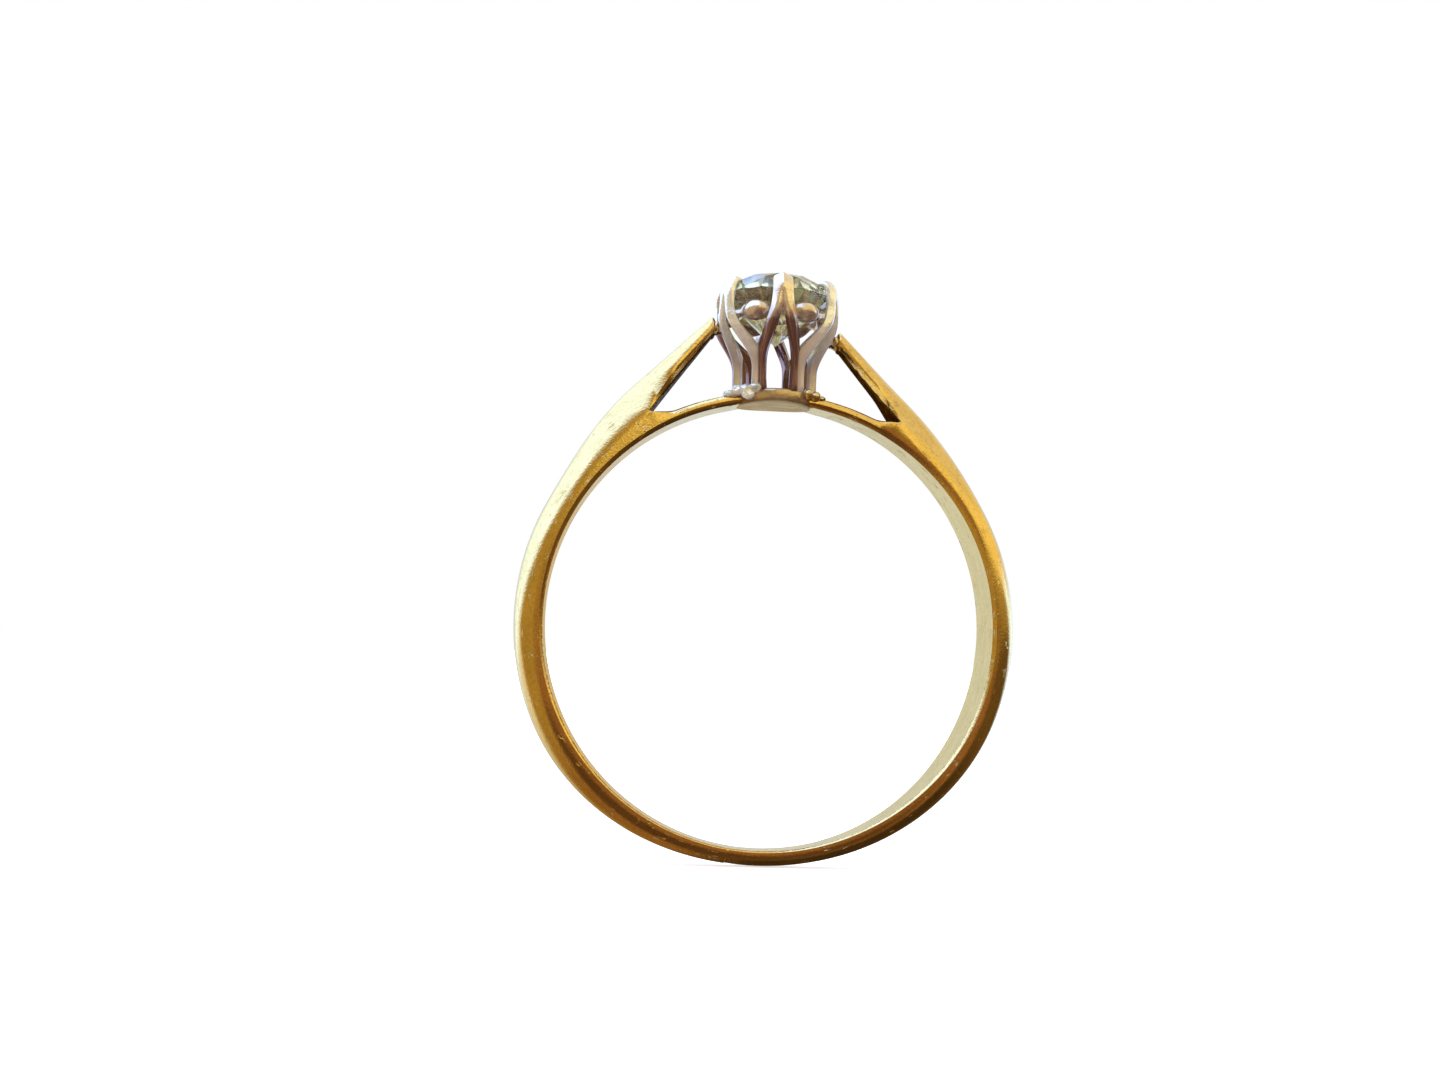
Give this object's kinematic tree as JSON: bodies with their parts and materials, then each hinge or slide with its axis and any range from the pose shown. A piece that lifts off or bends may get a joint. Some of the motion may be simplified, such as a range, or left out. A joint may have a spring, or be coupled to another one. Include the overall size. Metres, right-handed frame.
{
  "type": "engagement ring",
  "caption": "Solitaire engagement ring: yellow gold band forking to a white-metal claw head with a round brilliant.",
  "frame": {"origin": "centre of the finger hole, midway through the band's width", "axes": "+Z towards the stone, +Y along the finger through the hole, +X to the side where the band's outside was worn thinner"},
  "size_m": [0.0191, 0.005, 0.0225],
  "materials": {
    "yellow_gold": "polished, finely scratched by wear",
    "white_metal": "polished",
    "gold_solder": "satin",
    "grey_solder": "rough, as cast",
    "stone": "faceted, clear, faintly warm"
  },
  "bodies": {
    "root": {"shank_left": "yellow_gold", "shank_right": "yellow_gold", "sizing_solder": "gold_solder", "shoulder_left": "yellow_gold", "shoulder_right": "yellow_gold", "shoulder_solder_left": "gold_solder", "shoulder_solder_right": "gold_solder", "base_plate": "white_metal", "seat_ring": "white_metal", "claw_front": "white_metal", "claw_front_right": "white_metal", "claw_back_right": "white_metal", "claw_back": "white_metal", "claw_back_left": "white_metal", "claw_front_left": "white_metal", "diamond": "stone", "base_solder_left": "grey_solder", "base_solder_right": "gold_solder"}
  },
  "joints": []
}
